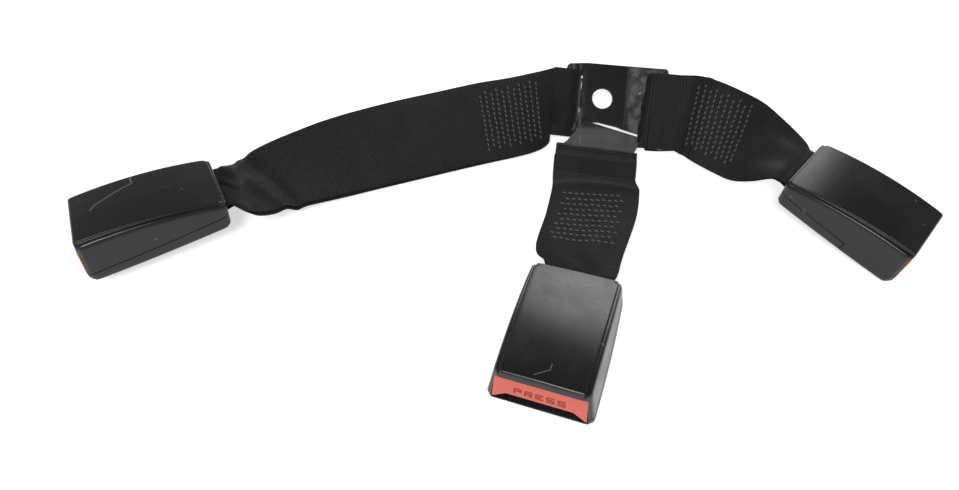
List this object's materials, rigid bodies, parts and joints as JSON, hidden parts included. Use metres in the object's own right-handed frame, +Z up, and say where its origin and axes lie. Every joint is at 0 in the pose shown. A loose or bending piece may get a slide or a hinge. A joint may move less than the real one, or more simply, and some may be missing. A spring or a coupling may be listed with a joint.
{
  "type": "seat belt buckle set",
  "caption": "Rear seat belt buckle set: press-button buckles on sewn webbing straps, joined at one bolted steel anchor bracket.",
  "frame": {"origin": "middle of the anchor bolt hole, at the mid plane of the bracket's plate", "axes": "+X to the right along the set, +Y to the back, away from the middle buckle, +Z up from the floor it lies on"},
  "size_m": [0.4387, 0.2155, 0.0391],
  "materials": {
    "shell_plastic": "fine grain black",
    "lower_plastic": "fine grain black",
    "button_plastic": "satin red",
    "frame_steel": "zinc plated",
    "pin_steel": "ground",
    "latch_steel": "hardened",
    "inner_plastic": "natural acetal",
    "spring_steel": "bright",
    "webbing": "woven polyester",
    "bracket_steel": "black, worn"
  },
  "bodies": {
    "bracket": {"anchor_bracket": "bracket_steel"},
    "left_strap": {"left_webbing": "webbing"},
    "left_shell": {"left_top_cover": "shell_plastic", "left_bottom_cover": "lower_plastic", "left_frame": "frame_steel", "left_webbing_bar": "pin_steel", "left_latch_pin": "pin_steel", "left_ejector_spring": "spring_steel", "left_button_spring": "spring_steel"},
    "left_button": {"left_press_button": "button_plastic"},
    "left_lock": {"left_lock_slider": "inner_plastic"},
    "left_ejector": {"left_ejector": "inner_plastic"},
    "left_latch": {"left_latch": "latch_steel"},
    "right_strap": {"right_webbing": "webbing"},
    "right_shell": {"right_top_cover": "shell_plastic", "right_bottom_cover": "lower_plastic", "right_frame": "frame_steel", "right_webbing_bar": "pin_steel", "right_latch_pin": "pin_steel", "right_ejector_spring": "spring_steel", "right_button_spring": "spring_steel"},
    "right_button": {"right_press_button": "button_plastic"},
    "right_lock": {"right_lock_slider": "inner_plastic"},
    "right_ejector": {"right_ejector": "inner_plastic"},
    "right_latch": {"right_latch": "latch_steel"},
    "middle_strap": {"middle_webbing": "webbing"},
    "middle_shell": {"middle_top_cover": "shell_plastic", "middle_bottom_cover": "lower_plastic", "middle_frame": "frame_steel", "middle_webbing_bar": "pin_steel", "middle_latch_pin": "pin_steel", "middle_ejector_spring": "spring_steel", "middle_button_spring": "spring_steel"},
    "middle_button": {"middle_press_button": "button_plastic"},
    "middle_lock": {"middle_lock_slider": "inner_plastic"},
    "middle_ejector": {"middle_ejector": "inner_plastic"},
    "middle_latch": {"middle_latch": "latch_steel"}
  },
  "joints": [
    {"name": "left_strap_swing", "type": "hinge", "parent": "bracket", "child": "left_strap", "pos_m": [-0.02036, 0.00251, -0.00347], "axis": [0.0412, 0.7869, 0.6157], "range_deg": [-8, 25]},
    {"name": "left_buckle_swing", "type": "hinge", "parent": "left_strap", "child": "left_shell", "pos_m": [-0.20944, -0.08711, -0.00437], "axis": [0.5247, -0.8396, 0.1406], "range_deg": [-8, 8]},
    {"name": "left_button_press", "type": "slide", "parent": "left_shell", "child": "left_button", "axis": [0.8418, 0.5363, 0.061], "range_m": [0, 0.006], "stiffness_N_per_m": 800, "springref_m": -0.004, "deforming": ["left_button_spring"]},
    {"name": "left_lock_slide", "type": "slide", "parent": "left_shell", "child": "left_lock", "axis": [0.8418, 0.5363, 0.061], "range_m": [0, 0.006]},
    {"name": "left_ejector_slide", "type": "slide", "parent": "left_shell", "child": "left_ejector", "axis": [0.8418, 0.5363, 0.061], "range_m": [0, 0.01], "stiffness_N_per_m": 500, "springref_m": -0.006, "deforming": ["left_ejector_spring"]},
    {"name": "left_latch_drop", "type": "hinge", "parent": "left_shell", "child": "left_latch", "pos_m": [-0.22602, -0.09691, -0.00098], "axis": [0.5247, -0.8396, 0.1406], "range_deg": [0, 8]},
    {"name": "right_strap_swing", "type": "hinge", "parent": "bracket", "child": "right_strap", "pos_m": [0.03151, -0.01262, 0.00217], "axis": [0.0412, 0.7869, 0.6157], "range_deg": [-25, 8]},
    {"name": "right_buckle_swing", "type": "hinge", "parent": "right_strap", "child": "right_shell", "pos_m": [0.109, -0.056, -0.00105], "axis": [0.6731, 0.7392, 0.0241], "range_deg": [-8, 8]},
    {"name": "right_button_press", "type": "slide", "parent": "right_shell", "child": "right_button", "axis": [-0.7326, 0.662, 0.1582], "range_m": [0, 0.006], "stiffness_N_per_m": 800, "springref_m": -0.004, "deforming": ["right_button_spring"]},
    {"name": "right_lock_slide", "type": "slide", "parent": "right_shell", "child": "right_lock", "axis": [-0.7326, 0.662, 0.1582], "range_m": [0, 0.006]},
    {"name": "right_ejector_slide", "type": "slide", "parent": "right_shell", "child": "right_ejector", "axis": [-0.7326, 0.662, 0.1582], "range_m": [0, 0.01], "stiffness_N_per_m": 500, "springref_m": -0.006, "deforming": ["right_ejector_spring"]},
    {"name": "right_latch_drop", "type": "hinge", "parent": "right_shell", "child": "right_latch", "pos_m": [0.12339, -0.06916, 0.00048], "axis": [0.6731, 0.7392, 0.0241], "range_deg": [0, 8]},
    {"name": "middle_strap_swing", "type": "hinge", "parent": "bracket", "child": "middle_strap", "pos_m": [-0.0062, -0.0449, -0.009], "axis": [0.9945, -0.1045, 0], "range_deg": [-60, 8]},
    {"name": "middle_buckle_swing", "type": "hinge", "parent": "middle_strap", "child": "middle_shell", "pos_m": [-0.02305, -0.1314, -0.00861], "axis": [0.953, -0.2851, 0.1028], "range_deg": [-8, 8]},
    {"name": "middle_button_press", "type": "slide", "parent": "middle_shell", "child": "middle_button", "axis": [0.2889, 0.957, -0.0244], "range_m": [0, 0.006], "stiffness_N_per_m": 800, "springref_m": -0.004, "deforming": ["middle_button_spring"]},
    {"name": "middle_lock_slide", "type": "slide", "parent": "middle_shell", "child": "middle_lock", "axis": [0.2889, 0.957, -0.0244], "range_m": [0, 0.006]},
    {"name": "middle_ejector_slide", "type": "slide", "parent": "middle_shell", "child": "middle_ejector", "axis": [0.2889, 0.957, -0.0244], "range_m": [0, 0.01], "stiffness_N_per_m": 500, "springref_m": -0.006, "deforming": ["middle_ejector_spring"]},
    {"name": "middle_latch_drop", "type": "hinge", "parent": "middle_shell", "child": "middle_latch", "pos_m": [-0.02896, -0.14935, -0.00358], "axis": [0.953, -0.2851, 0.1028], "range_deg": [0, 8]}
  ],
  "couplings": [
    {"joint": "left_lock_slide", "follows": "left_button_press", "ratio": 1},
    {"joint": "left_latch_drop", "follows": "left_ejector_slide", "rad_per_m": 13.963},
    {"joint": "right_lock_slide", "follows": "right_button_press", "ratio": 1},
    {"joint": "right_latch_drop", "follows": "right_ejector_slide", "rad_per_m": 13.963},
    {"joint": "middle_lock_slide", "follows": "middle_button_press", "ratio": 1},
    {"joint": "middle_latch_drop", "follows": "middle_ejector_slide", "rad_per_m": 13.963}
  ]
}
